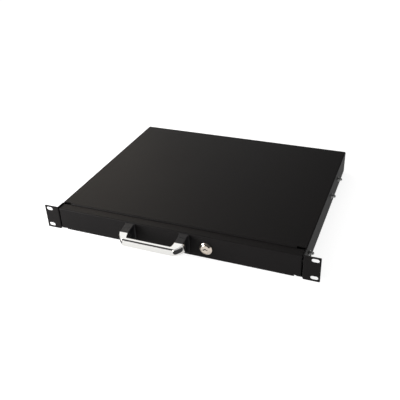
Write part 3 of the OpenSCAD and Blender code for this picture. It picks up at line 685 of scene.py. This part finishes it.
class RACKDRAWER_OT_lock(bpy.types.Operator):
    """Finishes the cam lock"""
    bl_idname = "rack_drawer.lock"
    bl_label = "Cam lock"

    def execute(self, context):
        settings = context.scene.rack_drawer
        self.thread_barrel(settings)
        for name in ("lock_plug", "lock_nut", "lock_washer", "lock_cam"):
            softened(name, settings.rail_edge, "plated")
        return {"FINISHED"}

    def thread_barrel(self, settings):
        """Slices the barrel's outside, and winds a thread round it between its two flats."""
        bm = merged_copy("lock_body")
        soft_edges(bm, settings.rail_edge)
        low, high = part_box("lock_body")
        axis = (low + high) / 2
        crest = max((v.co - axis).xz.length for v in bm.verts if v.co.y > axis.y)
        start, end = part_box("lock_washer")[0].y, high.y - 2 * settings.rail_edge
        slices = round(THREAD_CUTS * (end - start) / BARREL_PITCH)
        for k in range(1, slices):
            outside = [f for f in bm.faces if f.calc_center_median().y > start
                       and (f.calc_center_median() - axis).xz.length > crest * OUTSIDE_SHARE]
            edges = dict.fromkeys(e for f in outside for e in f.edges)
            points = dict.fromkeys(v for f in outside for v in f.verts)
            bmesh.ops.bisect_plane(bm, geom=[*points, *edges, *outside], plane_no=(0.0, 1.0, 0.0),
                                   plane_co=(0.0, start + (end - start) * k / slices, 0.0))
        bm.normal_update()
        for v in bm.verts:
            out = Vector((v.co.x - axis.x, 0.0, v.co.z - axis.z))
            way = out.normalized()
            round_here = out.length > crest * ROUND_SHARE and v.normal.dot(way) > ROUND_SHARE
            if start < v.co.y < end and round_here:
                wound = thread_radius(Vector((out.x, out.z, v.co.y)), out.length, BARREL_PITCH)
                v.co += way * (wound - out.length)
        new_piece("lock_body_threaded", bm, ["lock_body"])


class RACKDRAWER_OT_fasteners(bpy.types.Operator):
    """Finishes the screws, nuts and washers"""
    bl_idname = "rack_drawer.fasteners"
    bl_label = "Fasteners"

    def execute(self, context):
        self.wall_fasteners()
        self.inner_rail_screws()
        self.handle_screws()
        self.cam_fasteners()
        return {"FINISHED"}

    def wall_fasteners(self):
        """Cap nuts on washers outside the side walls, and the sunk screws that hold the outer rails."""
        nuts = solid_boxes("rail_nuts")
        size = nuts[0][1] - nuts[0][0]
        item = cap_nut(size.y * math.cos(math.pi / 6), size.x)
        new_piece("rail_cap_nuts", set_out(item, [self.on_wall(box, 1) for box in nuts]), ["rail_nuts"])
        washers = solid_boxes("rail_washers")
        size = washers[0][1] - washers[0][0]
        item = ring(size.y / 2, SHANK + WASHER_ROOM, size.x)
        places = [self.on_wall(box, 1) for box in washers]
        new_piece("rail_washers_stamped", set_out(item, places), ["rail_washers"])
        for side in ("left", "right"):
            name = f"rail_screws_{side}"
            screws = solid_boxes(name)
            head = (screws[0][1].y - screws[0][0].y) / 2
            item = cross_screw(head, SUNK_HEAD, SHANK, WALL_SCREW, PITCH, sunk=True)
            new_piece(f"{name}_threaded", set_out(item, [self.on_wall(box, -1) for box in screws]), [name])

    def on_wall(self, box, facing, lift=0.0):
        """Stands a fastener on a side wall. Facing 1 looks away from the drawer, and -1 into it."""
        low, high = box
        middle = (low + high) / 2
        side = math.copysign(1, middle.x)
        middle.x = side * (min(abs(low.x), abs(high.x)) + lift)
        return standing(middle, (facing * side, 0, 0))

    def inner_rail_screws(self):
        """Pan-head screws inside the tray's walls, into the inner rails."""
        boxes = solid_boxes("inner_rail_screws")
        size = boxes[0][1] - boxes[0][0]
        item = cross_screw(size.y / 2, PAN_HEAD, SHANK, size.x - PAN_HEAD, PITCH)
        places = [self.on_wall(box, -1, PAN_HEAD) for box in boxes]
        new_piece("inner_rail_screws_threaded", set_out(item, places), ["inner_rail_screws"])

    def handle_screws(self):
        """Two long pan-head screws from inside the drawer into the grip."""
        boxes = solid_boxes("handle_screws")
        size = boxes[0][1] - boxes[0][0]
        item = cross_screw(size.x / 2, PAN_HEAD, SHANK, size.y - PAN_HEAD, PITCH)
        places = [self.looking_back(box, box[1].y - PAN_HEAD) for box in boxes]
        new_piece("handle_screws_threaded", set_out(item, places), ["handle_screws"])

    def cam_fasteners(self):
        """The screw and washer that hold the cam on the lock's plug."""
        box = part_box("cam_screw")
        size = box[1] - box[0]
        item = cross_screw(size.x / 2, PAN_HEAD, SHANK, size.y - PAN_HEAD, PITCH)
        places = [self.looking_back(box, box[1].y - PAN_HEAD)]
        new_piece("cam_screw_threaded", set_out(item, places), ["cam_screw"])
        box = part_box("cam_washer")
        size = box[1] - box[0]
        item = ring(size.x / 2, SHANK + WASHER_ROOM, size.y)
        new_piece("cam_washer_stamped", set_out(item, [self.looking_back(box, box[0].y)]), ["cam_washer"])

    def looking_back(self, box, seat):
        """Stands a fastener at a seat behind the drawer's front, with its head to the back."""
        middle = (box[0] + box[1]) / 2
        middle.y = seat
        return standing(middle, (0, 1, 0))


def studio_white():
    """Matt white paper. It looks white to the camera, to metal and to glass, and still takes a shadow."""
    def build(tree, shader, where):
        output = tree.nodes["Material Output"]
        tree.nodes.remove(shader)
        path = add_node(tree, "ShaderNodeLightPath")
        mirrored = add_node(tree, "ShaderNodeMath", {"operation": "MAXIMUM"},
                            {0: path.outputs["Is Glossy Ray"], 1: path.outputs["Is Transmission Ray"]})
        dimmed = add_node(tree, "ShaderNodeMath", {"operation": "MULTIPLY"},
                          {0: mirrored.outputs["Value"], 1: PAPER_MIRRORED})
        share = add_node(tree, "ShaderNodeMapRange", None,
                         {"Value": path.outputs["Is Camera Ray"],
                          "To Min": dimmed.outputs["Value"], "To Max": PAPER_SEEN})
        paper = add_node(tree, "ShaderNodeBsdfDiffuse", None, {"Color": linear("#b8b8b8")})
        glow = add_node(tree, "ShaderNodeEmission", None,
                        {"Color": linear("#ffffff"), "Strength": share.outputs["Result"]})
        both = add_node(tree, "ShaderNodeAddShader", None,
                        {0: paper.outputs["BSDF"], 1: glow.outputs["Emission"]})
        tree.links.new(both.outputs["Shader"], output.inputs["Surface"])
    return new_material("white_paper", build)


def add_lamp(name, place, aim, width, watts, colour):
    """Hangs a soft square lamp at a place, turned to its aim."""
    lamp = bpy.data.lights.new(name, "AREA")
    lamp.shape = "SQUARE"
    lamp.size = width * MM
    lamp.energy = watts
    lamp.color = linear(colour)[:3]
    holder = bpy.data.objects.new(name, lamp)
    holder.location = Vector(place) * MM
    way = (Vector(aim) - Vector(place)).normalized()
    holder.rotation_mode = "QUATERNION"
    holder.rotation_quaternion = way.to_track_quat("-Z", "Y")
    bpy.context.scene.collection.objects.link(holder)


class StageSettings(bpy.types.PropertyGroup):
    """Where the camera stands and what it looks at."""
    azimuth: bpy.props.FloatProperty(
        name="Azimuth", description="Turn of the camera round the drawer, to its right",
        default=math.radians(23.08), subtype="ANGLE")
    elevation: bpy.props.FloatProperty(
        name="Elevation", description="Angle of the camera above the horizon",
        default=math.radians(30.88), subtype="ANGLE")
    roll: bpy.props.FloatProperty(
        name="Roll", description="Turn of the camera about its own line of sight",
        default=math.radians(-2.52), subtype="ANGLE")
    distance: bpy.props.FloatProperty(
        name="Distance", description="Distance of the camera from the point that it looks at",
        default=1027.6 * MM, unit="LENGTH")
    aim: bpy.props.FloatVectorProperty(
        name="Aim", description="The point that the camera looks at",
        default=(-4.2 * MM, 132.2 * MM, 0.0), unit="LENGTH")
    lens: bpy.props.FloatProperty(
        name="Lens", description="Focal length in millimetres, for a film 36 mm wide", default=51.2)


class RACKDRAWER_OT_stage(bpy.types.Operator):
    """Sets the floor, the lamps and the camera"""
    bl_idname = "rack_drawer.stage"
    bl_label = "Stage"

    def execute(self, context):
        scene = context.scene
        self.add_floor(scene)
        self.light_world(scene)
        for lamp in LAMPS:
            add_lamp(*lamp)
        self.add_camera(scene)
        return {"FINISHED"}

    def add_floor(self, scene):
        """White paper that the drawer lies on."""
        low, _ = CAD_BOX
        bm = bmesh.new()
        bmesh.ops.create_grid(bm, x_segments=1, y_segments=1, size=FLOOR_REACH)
        bmesh.ops.translate(bm, verts=bm.verts, vec=(0.0, 0.0, low.z))
        mesh = bpy.data.meshes.new("floor")
        bm.to_mesh(mesh)
        bm.free()
        mesh.materials.append(studio_white())
        floor = bpy.data.objects.new("floor", mesh)
        scene.collection.objects.link(floor)

    def light_world(self, scene):
        """White to the camera. Metal sees a low white sweep behind the drawer in a dark studio."""
        world = bpy.data.worlds.new("studio")
        world.use_nodes = True
        scene.world = world
        tree = world.node_tree
        back = tree.nodes["Background"]
        back.inputs["Color"].default_value = linear("#ffffff")
        way = add_node(tree, "ShaderNodeTexCoord").outputs["Generated"]
        towards = add_node(tree, "ShaderNodeVectorMath", {"operation": "DOT_PRODUCT"},
                           {0: way, 1: SWEEP_WAY})
        sweep = add_node(tree, "ShaderNodeMapRange", {"interpolation_type": "SMOOTHSTEP"},
                         {"Value": towards.outputs["Value"], "To Min": DARK_STUDIO,
                          "From Min": SWEEP_START, "From Max": SWEEP_FULL})
        path = add_node(tree, "ShaderNodeLightPath")
        mirrored = add_node(tree, "ShaderNodeMath", {"operation": "MAXIMUM"},
                            {0: path.outputs["Is Glossy Ray"], 1: path.outputs["Is Transmission Ray"]})
        shown = add_node(tree, "ShaderNodeMapRange", None,
                         {"Value": mirrored.outputs["Value"],
                          "To Min": SOFT_WORLD, "To Max": sweep.outputs["Result"]})
        level = add_node(tree, "ShaderNodeMapRange", None,
                         {"Value": path.outputs["Is Camera Ray"], "To Min": shown.outputs["Result"]})
        tree.links.new(level.outputs["Result"], back.inputs["Strength"])

    def add_camera(self, scene):
        """A camera that looks at its aim from a turn round the drawer and a height over it."""
        stage = scene.rack_drawer_stage
        az, el = stage.azimuth, stage.elevation
        back = Vector((math.sin(az) * math.cos(el), -math.cos(az) * math.cos(el), math.sin(el)))
        right = Vector((0, 0, 1)).cross(back).normalized()
        up = back.cross(right)
        turned_right = math.cos(stage.roll) * right + math.sin(stage.roll) * up
        turned_up = math.cos(stage.roll) * up - math.sin(stage.roll) * right
        camera = bpy.data.cameras.new("camera")
        camera.lens = stage.lens
        camera.sensor_width = FILM_WIDTH
        camera.clip_start = NEAREST
        holder = bpy.data.objects.new("camera", camera)
        turn = Matrix((turned_right, turned_up, back)).transposed().to_4x4()
        holder.matrix_world = Matrix.Translation(Vector(stage.aim) + back * stage.distance) @ turn
        scene.collection.objects.link(holder)
        scene.camera = holder
        scene.view_settings.view_transform = "Standard"


class RACKDRAWER_PT_build(bpy.types.Panel):
    """Lists the pieces and their settings"""
    bl_label = "Rack Drawer"
    bl_space_type = "VIEW_3D"
    bl_region_type = "UI"
    bl_category = "Rack Drawer"

    def draw(self, context):
        scene = context.scene
        for settings in (scene.rack_drawer, scene.rack_drawer_finish, scene.rack_drawer_stage):
            for name in settings.__annotations__:
                self.layout.prop(settings, name)
        for step in STEPS:
            self.layout.operator(step.bl_idname)


STEPS = (RACKDRAWER_OT_housing, RACKDRAWER_OT_drawer, RACKDRAWER_OT_slides, RACKDRAWER_OT_handle,
         RACKDRAWER_OT_lock, RACKDRAWER_OT_fasteners, RACKDRAWER_OT_stage)
CLASSES = (FinishSettings, RackDrawerSettings, StageSettings, *STEPS, RACKDRAWER_PT_build)


def register():
    for kind in CLASSES:
        bpy.utils.register_class(kind)
    bpy.types.Scene.rack_drawer = bpy.props.PointerProperty(type=RackDrawerSettings)
    bpy.types.Scene.rack_drawer_finish = bpy.props.PointerProperty(type=FinishSettings)
    bpy.types.Scene.rack_drawer_stage = bpy.props.PointerProperty(type=StageSettings)


def unregister():
    del bpy.types.Scene.rack_drawer_stage
    del bpy.types.Scene.rack_drawer_finish
    del bpy.types.Scene.rack_drawer
    for kind in reversed(CLASSES):
        bpy.utils.unregister_class(kind)


def main():
    register()
    bpy.ops.rack_drawer.housing()
    bpy.ops.rack_drawer.drawer()
    bpy.ops.rack_drawer.slides()
    bpy.ops.rack_drawer.handle()
    bpy.ops.rack_drawer.lock()
    bpy.ops.rack_drawer.fasteners()
    bpy.ops.rack_drawer.stage()


if __name__ == "__main__":
    main()
